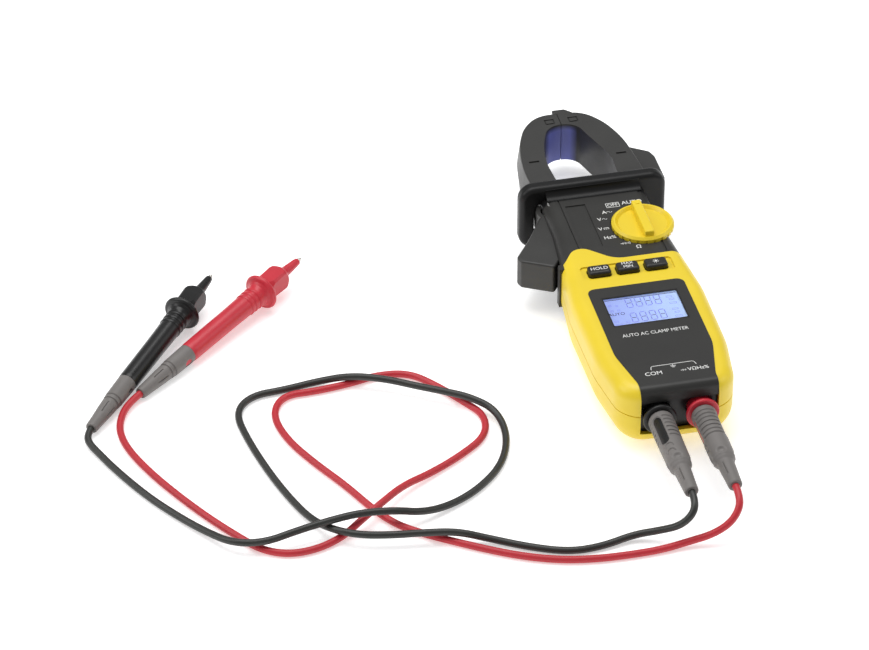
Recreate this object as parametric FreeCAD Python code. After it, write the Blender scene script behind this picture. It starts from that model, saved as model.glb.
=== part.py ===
"""Clamp meter with two test leads, as an assembly of separate named pieces.

Millimetres.  +X is to the right and +Y towards the jaws when the display is read, +Z is
out of the display.  The origin is on the flat back, on the case's centre line.
"""
import FreeCAD
import Part
import math
import os

V = FreeCAD.Vector
Z = V(0, 0, 1)
os.makedirs("parts", exist_ok=True)

# ---- driving dimensions -------------------------------------------------------------
FACE_Z = 32.0            # display face
HOUSING_Z = 31.6         # dark dial face, a little lower than the yellow frame
SEAM_Z = 18.5            # joint between the front and rear shells
WALL = 2.0               # shell wall
EDGE_R = 6.0             # rounding of the face's outer edge
BACK_R = 13.0            # rounding of the back's outer edge
BOTTOM_Y = -106.4        # jack end of the case
REAR_SPLIT_Y = -8.2      # yellow case below this line, dark housing above it
GUARD_Y0, GUARD_Y1 = 45.5, 53.0   # hand guard
GUARD_X0, GUARD_X1 = -34.0, 35.0
GUARD_Z0, GUARD_Z1 = 3.5, 36.5

JAW_Z0, JAW_Z1 = 10.0, 30.0       # jaw thickness
JAW_SEAM_Z = 20.0
JAW_ROOT_X, JAW_ROOT_Y, JAW_ROOT_Z = -24.4, 51.5, 27.4   # the jaw's root inside the guard is smaller
JAW_GAP = 0.15                    # half the gap between the closed jaw faces
JAW_WALL = 1.8
PIVOT = (-20.0, 41.0)
PIN_R = 2.5
PIN_Z0 = 8.0
TRIGGER_Z0, TRIGGER_Z1 = 12.0, 26.8
RUN_FIT = 0.05                    # radial clearance of a part that turns

DIAL = (15.4, 14.7)               # rotary switch centre
KNOB_R = 14.2
KNOB_TOP_Z = 34.0
KNOB_BAR_Z = 36.8
DIAL_SHAFT_R = 4.5
ROTOR_R = 7.8

PANEL_TOP_Y, PANEL_BEND_Y = -29.0, -101.5
PANEL_HALF, PANEL_END_HALF = 22.0, 17.3
PANEL_THICK = 1.6
LCD_HALF_X, LCD_Y0, LCD_Y1 = 16.6, -57.3, -37.0
BUTTON_X, BUTTON_Y = 13.0, -16.6
BUTTON_SIZE = (10.2, 6.4)
BUTTON_TOP_Z = 34.0
BUTTON_TRAVEL = 0.8

PCB_Z0, PCB_Z1 = 21.0, 22.6
JACK_X, JACK_Z = 9.525, 18.4      # 4 mm jacks on 19.05 mm centres
JACK_FACE_Y = -103.0
JACK_DEEP_Y = -82.0
PLUG_PIN_R = 2.0
PLUG_PIN_TIP_Y = -86.5
FLANGE_Y0, FLANGE_Y1 = -109.0, -107.0
FLANGE_R = 7.4
BOOT_R = 5.5
PLUG_EXIT_Y = -159.0

CELL_R, CELL_LEN = 5.25, 44.5     # AAA (R03) cell
CELL_Y, CELL_Z = -53.0, 7.45
COVER_HALF_X, COVER_Y0, COVER_Y1 = 15.0, -82.0, -26.0
COVER_Z = 1.8
SCREW_SPOTS = ((-23.0, -84.0), (23.0, -84.0), (20.5, 34.0), (-23.6, -16.0), (23.6, -16.0))

CORD_D = 3.2
PROBE_GUARD_R = 8.5
PROBE_SEAT_Z = 3.1                # height of the probe's axis at the cord exit
PROBE_GUARD_S = 85.0              # distance of the finger guard from the cord exit
PROBE_LEN = 114.5
CAP_START_S = 101.0

FULL = -1                 # corner radius: as large as the sides allow

made = {}


def save(node, shape):
    """Write one node and keep it for the report at the end."""
    if hasattr(shape, "removeSplitter"):
        shape = shape.removeSplitter()
    if not shape.isValid():
        print("INVALID", node)
    shape.exportStep("parts/%s.step" % node)
    made[node] = shape
    return shape


# ---- outlines and solids ------------------------------------------------------------
def rounded_wire(points, plane=lambda x, y: V(x, y, 0)):
    """Closed wire through (x, y, radius) corners, each rounded by a tangent arc.

    A radius of FULL rounds a corner as far as its two sides allow."""
    n = len(points)
    cuts = []
    for i, (x, y, r) in enumerate(points):
        p = V(x, y, 0)
        a = V(*points[i - 1][:2], 0) - p
        b = V(*points[(i + 1) % n][:2], 0) - p
        half = a.getAngle(b) / 2
        if r == FULL:
            r = 0.48 * min(a.Length, b.Length) * math.tan(half)
        if r <= 0 or abs(half - math.pi / 2) < 1e-4:
            cuts.append((p, None, p))
            continue
        reach = r / math.tan(half)
        a.normalize()
        b.normalize()
        bisector = (a + b).normalize()
        middle = p + bisector * (r / math.sin(half) - r)
        cuts.append((p + a * reach, middle, p + b * reach))
    edges = []
    for i in range(n):
        start, middle, end = cuts[i]
        if middle is not None:
            s, m, e = (plane(q.x, q.y) for q in (start, middle, end))
            edges.append(Part.Arc(s, m, e).toShape())
        nxt = cuts[(i + 1) % n][0]
        if (nxt - end).Length > 1e-4:
            edges.append(Part.LineSegment(plane(end.x, end.y), plane(nxt.x, nxt.y)).toShape())
    return Part.Wire(Part.__sortEdges__(edges))


def prism(points, z0, z1, inset=0.0):
    """Solid of a rounded outline between two heights, its outline moved in by inset."""
    wire = rounded_wire(points, lambda x, y: V(x, y, z0))
    if inset:
        wire = wire.makeOffset2D(-inset)
        wire = wire.Wires[0] if wire.ShapeType != "Wire" else wire
    return Part.Face(wire).extrude(V(0, 0, z1 - z0))


def box(x0, y0, z0, x1, y1, z1, r=0.0):
    """Box between two corners, its upright edges rounded by r."""
    if r:
        return prism([(x0, y0, r), (x1, y0, r), (x1, y1, r), (x0, y1, r)], z0, z1)
    return Part.makeBox(x1 - x0, y1 - y0, z1 - z0, V(x0, y0, z0))


def rod(r, start, end):
    """Cylinder between two points."""
    axis = V(*end) - V(*start)
    return Part.makeCylinder(r, axis.Length, V(*start), axis)


def ring(r_out, r_in, start, end):
    return rod(r_out, start, end).cut(rod(r_in, start, end))


def level_edges(shape, z):
    """Edges that lie wholly at one height."""
    return [e for e in shape.Edges if abs(e.BoundBox.ZMin - z) < 1e-4 and abs(e.BoundBox.ZMax - z) < 1e-4]


def soften(shape, r, z):
    """Round the edges at one height, leaving the shape sharp where that can't be done."""
    try:
        done = shape.makeFillet(r, level_edges(shape, z))
        if done.isValid():
            return done
    except Exception as error:
        print("not rounded at z =", z, error)
    return shape


def placed(solid, origin, direction):
    """A solid made along +X, put at an origin and turned to a direction."""
    solid.Placement = FreeCAD.Placement(V(*origin), FreeCAD.Rotation(V(1, 0, 0), V(*direction)))
    return solid


def bead(s, half, r_in, r_out, steps=7):
    """Profile points of a rounded ring centred at s, rising from r_in to r_out."""
    angles = [math.pi * k / (steps - 1) for k in range(steps)]
    return [(s - half * math.cos(a), r_in + (r_out - r_in) * math.sin(a)) for a in angles]


def turned(profile, origin, direction):
    """Solid of revolution from (distance along, radius) pairs about an axis."""
    points = [V(profile[0][0], 0, 0)]
    points += [V(s, r, 0) for s, r in profile]
    points.append(V(profile[-1][0], 0, 0))
    clean = [p for i, p in enumerate(points) if i == 0 or (p - points[i - 1]).Length > 1e-6]
    wire = Part.makePolygon(clean + [clean[0]])
    solid = Part.Face(wire).revolve(V(0, 0, 0), V(1, 0, 0), 360)
    if not solid.isValid() or solid.Volume < 0:
        solid = solid.reversed()
    return placed(solid, origin, direction)


# ---- case shells --------------------------------------------------------------------
CASE = [(24.8, 47.0, 0), (25.2, 20.0, 60), (30.4, -34.0, 60), (29.8, -74.0, 60),
        (25.0, BOTTOM_Y, 14), (-25.0, BOTTOM_Y, 14), (-29.8, -74.0, 60),
        (-30.4, -34.0, 60), (-25.2, 20.0, 60), (-24.8, 47.0, 0)]

YELLOW = [(-45.0, -5.5, 0), (-26.0, -5.5, 6), (-18.0, 5.2, 6), (-3.5, -8.2, 12),
          (23.0, -8.2, 0), (45.0, -8.2, 0), (45.0, -130.0, 0), (-45.0, -130.0, 0)]

PANEL = [(-PANEL_HALF, PANEL_TOP_Y, 3.5), (PANEL_HALF, PANEL_TOP_Y, 3.5), (PANEL_HALF, -78.0, 30),
         (PANEL_END_HALF, -99.0, 12), (PANEL_END_HALF, -112.0, 0), (-PANEL_END_HALF, -112.0, 0),
         (-PANEL_END_HALF, -99.0, 12), (-PANEL_HALF, -78.0, 30)]


def shell(z0, z1, r, at_top, wall):
    """Hollow half of the case outline, rounded at its outer face."""
    outer_z, inner_z = (z1, z1 - wall) if at_top else (z0, z0 + wall)
    outer = soften(prism(CASE, z0, z1), r, outer_z)
    lo, hi = (z0 - 1, inner_z) if at_top else (inner_z, z1 + 1)
    inner = soften(prism(CASE, lo, hi, wall), r - wall + 0.6, inner_z)
    return outer.cut(inner)


def back_hull():
    """Solid of the rear half's outer shape, to trim what is built inside it."""
    return soften(prism(CASE, 0, SEAM_Z), BACK_R, 0)


def seam_groove(z0, z1):
    """Shallow groove round the case where the two shells meet."""
    return prism(CASE, z0, z1).cut(prism(CASE, z0, z1, 0.35))


def screw_boss(x, y, z0, z1, bore_top):
    boss = rod(3.0, (x, y, z0), (x, y, z1))
    return boss.cut(rod(1.2, (x, y, z0), (x, y, bore_top)))


def front_case():
    """Yellow frame round the display, with the button track and the jack end open."""
    body = shell(SEAM_Z, FACE_Z, EDGE_R, True, WALL).common(prism(YELLOW, SEAM_Z, FACE_Z))
    for x, y in SCREW_SPOTS:
        if y < REAR_SPLIT_Y:
            body = body.fuse(screw_boss(x, y, SEAM_Z, FACE_Z - WALL, FACE_Z - WALL - 3))
    track = box(-21.0, -21.6, FACE_Z - 0.7, 21.0, -11.6, FACE_Z + 1, 2.0)
    body = body.cut(track)
    for i in (-1, 0, 1):
        w, d = BUTTON_SIZE[0] / 2 + 0.3, BUTTON_SIZE[1] / 2 + 0.3
        cx = i * BUTTON_X
        body = body.cut(box(cx - w, BUTTON_Y - d, 20, cx + w, BUTTON_Y + d, 40, 1.8))
    body = body.cut(prism(PANEL, FACE_Z - PANEL_THICK, FACE_Z + 1))
    body = body.cut(box(-PANEL_HALF + 3, -88.0, 20, PANEL_HALF - 3, -33.0, 40, 2.0))
    body = body.cut(box(-PANEL_END_HALF, -120, SEAM_Z - 1, PANEL_END_HALF, -98.0, FACE_Z - 4))
    body = body.cut(box(-PANEL_END_HALF, -120, SEAM_Z - 1, PANEL_END_HALF, PANEL_BEND_Y, 40))
    body = body.cut(box(-40, REAR_SPLIT_Y, 0, -25.6, 0, 29.6))
    return save("front_case", body.cut(seam_groove(SEAM_Z, SEAM_Z + 0.25)))


def rear_case():
    """Yellow rear shell with the cell bay and the cover's seat."""
    keep = box(-45, -130, -1, 45, REAR_SPLIT_Y, SEAM_Z + 1)
    body = shell(0, SEAM_Z, BACK_R, False, WALL).common(keep)
    bay_out = box(-14.0, -77.5, WALL, 14.0, -28.5, 14.2)
    bay_in = box(-12.2, -76.0, WALL - 1, 12.2, -30.0, 12.8)
    body = body.fuse(bay_out).cut(bay_in)
    body = body.cut(box(-COVER_HALF_X - 0.2, COVER_Y0 - 0.2, -1, COVER_HALF_X + 0.2, COVER_Y1 + 0.2,
                        COVER_Z + 0.2, 3.0))
    body = body.fuse(box(-COVER_HALF_X - 2, COVER_Y0 - 2, COVER_Z + 0.2, COVER_HALF_X + 2, -76.0, 3.6))
    body = body.fuse(box(-COVER_HALF_X - 2, -30.0, COVER_Z + 0.2, COVER_HALF_X + 2, COVER_Y1 + 2, 3.6))
    body = body.fuse(box(-COVER_HALF_X - 2, -76.5, COVER_Z + 0.2, -12.2, -29.5, 3.6))
    body = body.fuse(box(12.2, -76.5, COVER_Z + 0.2, COVER_HALF_X + 2, -29.5, 3.6))
    body = body.fuse(rod(3.0, (0, -79.3, 3.5), (0, -79.3, 9.0)))
    body = body.cut(rod(1.25, (0, -79.3, 1), (0, -79.3, 8.0)))
    for x, y in SCREW_SPOTS:
        if y < REAR_SPLIT_Y:
            body = body.fuse(rod(3.6, (x, y, 2.5), (x, y, SEAM_Z)))
            body = body.cut(rod(2.75, (x, y, -1), (x, y, 9.0))).cut(rod(1.5, (x, y, 0), (x, y, SEAM_Z)))
    body = body.cut(box(-PANEL_END_HALF, -120, 9.0, PANEL_END_HALF, -98.0, SEAM_Z + 1))
    body = body.common(back_hull())
    return save("rear_case", body.cut(seam_groove(SEAM_Z - 0.25, SEAM_Z)))


def guard_solid():
    """Hand guard: an upright plate with rounded ends across the meter."""
    r = 7.0
    points = [(GUARD_X0, GUARD_Z0, r), (GUARD_X1, GUARD_Z0, r), (GUARD_X1, GUARD_Z1, r),
              (GUARD_X0, GUARD_Z1, r)]
    wire = rounded_wire(points, lambda x, z: V(x, GUARD_Y0, z))
    plate = Part.Face(wire).extrude(V(0, GUARD_Y1 - GUARD_Y0, 0))
    rim = [e for e in plate.Edges if abs(e.BoundBox.YMin - GUARD_Y1) < 1e-4
           or abs(e.BoundBox.YMax - GUARD_Y0) < 1e-4]
    return plate.makeFillet(2.6, rim)


def guard_cove():
    """Hollow round between the dial face and the guard."""
    r = 3.6
    block = box(-22.0, GUARD_Y0 - r, HOUSING_Z - 1, 22.0, GUARD_Y0 + 1, HOUSING_Z + r)
    return block.cut(rod(r, (-30, GUARD_Y0 - r, HOUSING_Z + r), (30, GUARD_Y0 - r, HOUSING_Z + r)))


def jaw_window():
    """Opening in the guard for the moving jaw's swing, smaller on the dial's side."""
    rear = box(-32.4, GUARD_Y0 + 1.8, JAW_Z0 - 0.4, -9.0, GUARD_Y1 + 1, JAW_Z1 + 0.4)
    return rear.fuse(box(-27.5, GUARD_Y0 - 2.2, JAW_Z0 - 0.4, -9.0, GUARD_Y0 + 2, JAW_ROOT_Z + 0.4))


def trigger_slot():
    """Opening in the housing's left side where the trigger swings in."""
    return box(-50, -4.6, TRIGGER_Z0 - 0.6, -19.0, GUARD_Y0 + 0.5, TRIGGER_Z1 + 0.4)


def side_rib(z0, z1):
    """Upright rib of the dark housing beside the yellow case's upper left corner."""
    return box(-28.8, REAR_SPLIT_Y, z0, -25.6, -4.6, z1)


def upper_front():
    """Dark housing with the dial face and the front half of the hand guard."""
    body = shell(SEAM_Z, HOUSING_Z, EDGE_R, True, WALL).cut(prism(YELLOW, SEAM_Z - 1, FACE_Z + 1))
    body = body.cut(trigger_slot()).fuse(side_rib(SEAM_Z, 29.6))
    cap = box(-60, 0, SEAM_Z, 60, 80, 50)
    body = body.fuse(guard_cove()).fuse(guard_solid().common(cap)).cut(jaw_window()).cut(jaw_full(False))
    body = body.cut(rod(DIAL_SHAFT_R + RUN_FIT, (*DIAL, 20), (*DIAL, 40)))
    body = body.cut(rod(KNOB_R + 0.5, (*DIAL, HOUSING_Z - 0.8), (*DIAL, 50)))
    body = body.cut(box(-15.3, 3.0, HOUSING_Z - 0.5, -6.0, 36.3, 40))
    body = body.cut(box(-17.6, -2.0, HOUSING_Z - 0.5, -17.0, GUARD_Y0 - 4, 40))
    body = body.cut(box(20.0, -12.0, HOUSING_Z - 0.6, 21.2, GUARD_Y0 - 4, 40))
    body = body.cut(seam_groove(SEAM_Z, SEAM_Z + 0.25))
    x, y = SCREW_SPOTS[2]
    body = body.fuse(screw_boss(x, y, SEAM_Z, HOUSING_Z - WALL, HOUSING_Z - WALL - 3))
    body = body.cut(rod(PIN_R, (*PIVOT, 20), (*PIVOT, 30.9)))
    return save("dial_housing", body)


def upper_rear():
    """Dark rear housing with the rear half of the guard and the pivot's lower boss."""
    keep = box(-45, REAR_SPLIT_Y, -1, 45, 80, SEAM_Z + 1)
    body = shell(0, SEAM_Z, BACK_R, False, WALL).common(keep)
    body = body.cut(trigger_slot()).fuse(side_rib(9.0, SEAM_Z))
    half = box(-60, 0, -5, 60, 80, SEAM_Z)
    body = body.fuse(guard_solid().common(half)).cut(jaw_window()).cut(jaw_full(False))
    body = body.fuse(rod(5.0, (*PIVOT, WALL - 0.5), (*PIVOT, 10.6)).common(back_hull()))
    body = body.cut(rod(PIN_R, (*PIVOT, PIN_Z0), (*PIVOT, 20)))
    x, y = SCREW_SPOTS[2]
    body = body.fuse(rod(3.6, (x, y, 1.5), (x, y, SEAM_Z)).common(back_hull()))
    body = body.cut(rod(2.75, (x, y, -1), (x, y, 9.0))).cut(rod(1.5, (x, y, 0), (x, y, SEAM_Z)))
    return save("rear_housing", body.cut(seam_groove(SEAM_Z - 0.25, SEAM_Z)))


# ---- display, dial and buttons ------------------------------------------------------
def display_panel():
    """Dark panel round the display that turns down at the jack end."""
    plate = prism(PANEL, FACE_Z - PANEL_THICK, FACE_Z + 0.2)
    plate = plate.common(box(-40, PANEL_BEND_Y, 0, 40, 0, 50))
    end = box(-PANEL_END_HALF, -105.0, 25.0, PANEL_END_HALF, PANEL_BEND_Y, FACE_Z + 0.2)
    nose = [e for e in end.Edges if abs(e.BoundBox.YMax + 105.0) < 1e-3 and e.BoundBox.ZMin > 30]
    end = end.makeFillet(3.4, nose)
    plate = plate.fuse(end)
    hole = box(-LCD_HALF_X, LCD_Y0, 20, LCD_HALF_X, LCD_Y1, 40, 0.6)
    ledge = box(-LCD_HALF_X - 1, LCD_Y0 - 1, 20, LCD_HALF_X + 1, LCD_Y1 + 1, FACE_Z - 0.2)
    return save("display_panel", plate.cut(hole).cut(ledge))


def display_module():
    save("lcd_window", box(-LCD_HALF_X - 0.9, LCD_Y0 - 0.9, FACE_Z - 1.0, LCD_HALF_X + 0.9,
                           LCD_Y1 + 0.9, FACE_Z - 0.25))
    save("lcd_glass", box(-LCD_HALF_X - 0.8, LCD_Y0 - 0.8, 29.4, LCD_HALF_X + 0.8, LCD_Y1 + 0.8, 30.95))
    save("lcd_backlight", box(-LCD_HALF_X - 0.6, LCD_Y0 - 0.6, 27.0, LCD_HALF_X + 0.6, LCD_Y1 + 0.6, 29.3))
    frame = box(-18.6, LCD_Y0 - 2.4, PCB_Z1, 18.6, LCD_Y1 + 2.4, 30.2)
    frame = frame.cut(box(-17.5, LCD_Y0 - 1.0, 24.2, 17.5, LCD_Y1 + 1.0, 31))
    save("lcd_holder", frame.cut(box(-14, LCD_Y0 + 2, 20, 14, LCD_Y1 - 2, 31)))


def knob():
    """Dial knob: notched skirt, dished top and a raised bar."""
    x, y = DIAL
    body = rod(KNOB_R, (x, y, HOUSING_Z - 0.5), (x, y, KNOB_TOP_Z - 1.0))
    body = body.fuse(Part.makeCone(KNOB_R, 13.2, 1.0, V(x, y, KNOB_TOP_Z - 1.0), Z))
    body = body.cut(Part.makeCone(11.2, 12.5, 1.3, V(x, y, KNOB_TOP_Z - 1.3), Z))
    notches = 24
    for i in range(notches):
        a = 2 * math.pi * (i + 0.5) / notches
        cx, cy = x + (KNOB_R + 0.45) * math.cos(a), y + (KNOB_R + 0.45) * math.sin(a)
        body = body.cut(rod(0.9, (cx, cy, 30), (cx, cy, KNOB_TOP_Z - 1.1)))
    bar = box(x - 2.2, y - 12.4, KNOB_TOP_Z - 2, x + 2.2, y + 12.9, KNOB_BAR_Z, 0.6)
    body = body.fuse(soften(bar, 0.7, KNOB_BAR_Z))
    body = body.fuse(box(x - 0.9, y + 9.4, KNOB_BAR_Z - 1, x + 0.9, y + 11.0, KNOB_BAR_Z + 0.25, 0.3))
    body = body.fuse(rod(DIAL_SHAFT_R, (x, y, 25.9), (x, y, HOUSING_Z)))
    save("knob", body)
    rotor = rod(ROTOR_R, (x, y, 24.6), (x, y, 25.9))
    for i in range(16):
        a = math.radians(22.5 * i)
        cx, cy = x + ROTOR_R * math.cos(a), y + ROTOR_R * math.sin(a)
        rotor = rotor.cut(rod(0.8, (cx, cy, 24), (cx, cy, 27)))
    save("switch_rotor", rotor)
    wipers = []
    for a in (40, 160, 280):
        arm = box(3.6, -0.7, 22.75, 7.8, 0.7, 24.55)
        arm = arm.cut(box(4.4, -1, 22, 7.0, 1, 24.1))
        arm.rotate(V(0, 0, 0), Z, a)
        arm.translate(V(x, y, 0))
        wipers.append(arm)
    save("switch_wipers", Part.makeCompound(wipers))
    leaf_x = x - ROTOR_R - 1.6
    detent = box(leaf_x + 0.2, y - 0.5, 24.7, x - ROTOR_R - 0.1, y + 0.5, 25.8)
    leaf = box(leaf_x, y - 8.5, 24.7, leaf_x + 0.4, y + 4.5, 25.8)
    foot = box(leaf_x, y - 8.5, PCB_Z1, leaf_x + 0.4, y - 6.0, 24.7)
    save("detent_spring", leaf.fuse(foot).fuse(detent))


def buttons():
    names = ("button_hold", "button_max_min", "button_light")
    w, d = BUTTON_SIZE
    for i, name in enumerate(names):
        cx = (i - 1) * BUTTON_X
        cap = box(cx - w / 2, BUTTON_Y - d / 2, 27.4, cx + w / 2, BUTTON_Y + d / 2, BUTTON_TOP_Z, 1.5)
        cap = soften(cap, 1.2, BUTTON_TOP_Z)
        cap = cap.fuse(box(cx - w / 2 - 0.9, BUTTON_Y - d / 2 - 0.9, 27.4, cx + w / 2 + 0.9,
                           BUTTON_Y + d / 2 + 0.9, 28.6, 1.0))
        save(name, cap)
    mat = box(-21, -22.0, 23.4, 21, -11.2, 24.4, 1.0)
    for i in (-1, 0, 1):
        dome = Part.makeCone(2.8, 1.6, 1.6, V(i * BUTTON_X, BUTTON_Y, 24.4), Z)
        mat = mat.fuse(dome)
    for x, y in SCREW_SPOTS[3:]:
        mat = mat.cut(rod(3.3, (x, y, 20), (x, y, 30)))
    save("button_mat", mat)


def boards():
    """Main board, sounder and jack contacts' straps."""
    pcb = prism([(21.5, 30.0, 2), (26.2, -34.0, 10), (25.4, -76.0, 8), (21.0, -80.5, 2),
                 (-21.0, -80.5, 2), (-25.4, -76.0, 8), (-26.2, -34.0, 10), (-23.4, -9.5, 2),
                 (-7.5, -9.5, 1), (-7.5, 30.0, 2)], PCB_Z0, PCB_Z1)
    for x, y in SCREW_SPOTS:
        pcb = pcb.cut(rod(3.4, (x, y, 20), (x, y, 24)))
    pcb = pcb.cut(rod(3.0, (*DIAL, 20), (*DIAL, 24)))
    save("main_board", pcb)
    chips = [box(-6, -52, 19.4, 6, -40, PCB_Z0), box(10, -66, 19.6, 17, -60, PCB_Z0),
             box(-18, -30, 19.2, -12, -22, PCB_Z0), box(2, -26, 18.4, 7, -16, PCB_Z0)]
    save("board_chips", Part.makeCompound(chips))
    save("sounder", rod(8.0, (-12.0, -69.0, PCB_Z1), (-12.0, -69.0, PCB_Z1 + 3.2)))
    save("backlight_led", Part.makeCompound([box(19.0, y - 1.5, PCB_Z1, 21.0, y + 1.5, PCB_Z1 + 1.6)
                                             for y in (-42.0, -52.0)]))


# ---- jaws ---------------------------------------------------------------------------
OUTER_LEFT = [(-24.0, 44.0, 0), (-25.4, 53.0, FULL), (-26.2, 74.5, FULL), (-23.1, 92.6, FULL),
              (-17.6, 106.0, FULL), (-9.2, 113.8, FULL)]
OUTER_RIGHT = [(11.5, 113.4, FULL), (20.0, 103.4, FULL), (25.6, 88.0, FULL), (28.2, 62.0, FULL),
               (28.2, 44.0, 0)]
INNER_LEFT = [(-6.6, 104.0, FULL), (-12.2, 89.5, FULL), (-14.5, 75.0, FULL), (-13.4, 60.0, FULL), (-12.0, 40.0, 0)]
INNER_RIGHT = [(15.2, 40.0, 0), (15.7, 62.0, FULL), (16.4, 74.0, FULL), (10.4, 91.0, FULL), (6.6, 104.0, FULL)]
NOSE = [(JAW_GAP, 110.0, 0), (JAW_GAP, 113.5, 0), (-1.6, 113.5, 0), (-1.6, 116.6, 0.6), (4.4, 116.6, 1.0),
        (7.6, 113.4, 1.5), (7.6, 110.0, 0)]
FIXED_JAW = [(JAW_GAP, 104.0, 0), (JAW_GAP, 114.2, 0)] + OUTER_RIGHT + INNER_RIGHT
MOVING_JAW = [(-JAW_GAP, 104.0, 0)] + INNER_LEFT + OUTER_LEFT + [(-JAW_GAP, 114.2, 0)]
JAW_BULGE = 1.2          # the outer sides stand this much further out at mid-thickness
SENSOR_HOOD = [(23.0, 55.0, 0), (23.0, 86.0, 0), (26.6, 85.4, 1), (36.2, 79.0, 3), (37.6, 74.5, 3),
               (37.6, 57.0, 1.5), (36.0, 55.0, 1)]


def jaw_full(moving):
    """One jaw's outer shape, solid: sides that lean out to mid-thickness, cut by the opening."""
    outline = OUTER_LEFT + OUTER_RIGHT
    ends = [rounded_wire(outline, lambda x, y: V(x, y, z)) for z in (JAW_Z0, JAW_SEAM_Z, JAW_Z1)]
    ends[1] = ends[1].makeOffset2D(JAW_BULGE, 2)
    halves = [Part.makeLoft(pair, True, True) for pair in (ends[:2], ends[1:])]
    body = halves[0].fuse(halves[1]).removeSplitter()
    body = soften(soften(body, 0.9, JAW_Z1), 0.9, JAW_Z0)
    body = body.cut(prism(INNER_RIGHT + INNER_LEFT, 0, 50))
    if moving:
        body = body.common(box(-60, 46.0, 0, -JAW_GAP, 130, 50))
        body = body.cut(box(-60, 40.0, 0, JAW_ROOT_X, JAW_ROOT_Y, 50))
        body = body.cut(box(-60, 40.0, JAW_ROOT_Z, 0, JAW_ROOT_Y - 1.5, 50))
        return body.cut(box(-2.0, 113.2, 0, 1, 130, 50))
    body = body.common(box(JAW_GAP, 47.0, 0, 60, 130, 50))
    hood = soften(prism(SENSOR_HOOD, 12.5, 26.5), 1.2, 26.5)
    return body.fuse(hood.cut(prism(FIXED_JAW, 0, 50))).fuse(soften(prism(NOSE, JAW_Z0, JAW_Z1), 0.6, JAW_Z1))


def jaw_marks():
    """Moulded-in bars and small frames on the jaws' upper face."""
    marks = box(-22.2, 75.8, JAW_Z1 - 0.6, -17.4, 77.2, 40).fuse(box(19.0, 74.4, JAW_Z1 - 0.6, 23.8, 75.8, 40))
    for x in (-4.9, 6.4):
        frame = box(x - 2.3, 105.2, JAW_Z1 - 0.5, x + 2.3, 109.2, 40)
        marks = marks.fuse(frame.cut(box(x - 1.7, 105.9, 0, x + 1.7, 108.5, 50)))
    return marks


def jaw_pair(name, points, full):
    """Front and rear jaw shells, the laminated core and its winding."""
    bottom = 55.0
    room = prism(points, JAW_Z0 + JAW_WALL, JAW_Z1 - JAW_WALL, JAW_WALL).common(box(-60, bottom, 0, 60, 112.0, 40))
    hollow = full.cut(room)
    save(name + "_front", hollow.common(box(-60, 40, JAW_SEAM_Z, 60, 130, 40)).cut(jaw_marks()))
    save(name + "_rear", hollow.common(box(-60, 40, 0, 60, 130, JAW_SEAM_Z)))
    core = prism(points, JAW_Z0 + 4.5, JAW_Z1 - 4.5, 3.4).common(box(-60, bottom + 2, 0, 60, 111.0, 40))
    save(name + "_core", core)
    wrap = prism(points, JAW_Z0 + 3.0, JAW_Z1 - 3.0, 2.1).common(box(-60, 64.0, 0, 60, 88.0, 40))
    save(name + "_winding", wrap.cut(core))


def jaws():
    jaw_pair("fixed_jaw", FIXED_JAW, jaw_full(False))
    jaw_pair("moving_jaw", MOVING_JAW, jaw_full(True))


TRIGGER = [(-12.0, 46.0, 0), (-24.4, 46.0, 0), (-26.0, 39.0, 8), (-35.4, 22.5, 30), (-44.4, 9.4, 3),
           (-43.0, 5.8, 1.5), (-29.4, -1.4, 1.5), (-25.8, 3.6, 4), (-22.6, 24.0, 20), (-15.5, 33.0, 5),
           (-12.0, 36.0, 4)]


def trigger():
    """Lever that swings the moving jaw: a wing outside the case and a hub on the pin."""
    body = prism(TRIGGER, TRIGGER_Z0, TRIGGER_Z1)
    body = soften(soften(body, 1.0, TRIGGER_Z1), 1.0, TRIGGER_Z0)
    hub = rod(7.4, (*PIVOT, TRIGGER_Z0), (*PIVOT, TRIGGER_Z1))
    body = body.fuse(hub.common(box(-60, 0, 0, 60, 46.0, 50)))
    body = body.cut(rod(PIN_R + RUN_FIT, (*PIVOT, 0), (*PIVOT, 40)))
    body = body.cut(rod(5.4, (*PIVOT, 22.0), (*PIVOT, 40)))
    save("trigger", body)
    save("pivot_pin", rod(PIN_R, (*PIVOT, PIN_Z0), (*PIVOT, 30.9)))
    spring = Part.makeTorus(4.0, 0.6, V(*PIVOT, 22.7), Z)
    for turn in range(1, 5):
        spring = spring.fuse(Part.makeTorus(4.0, 0.6, V(*PIVOT, 22.7 + 0.9 * turn), Z))
    save("jaw_spring", spring)


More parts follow.
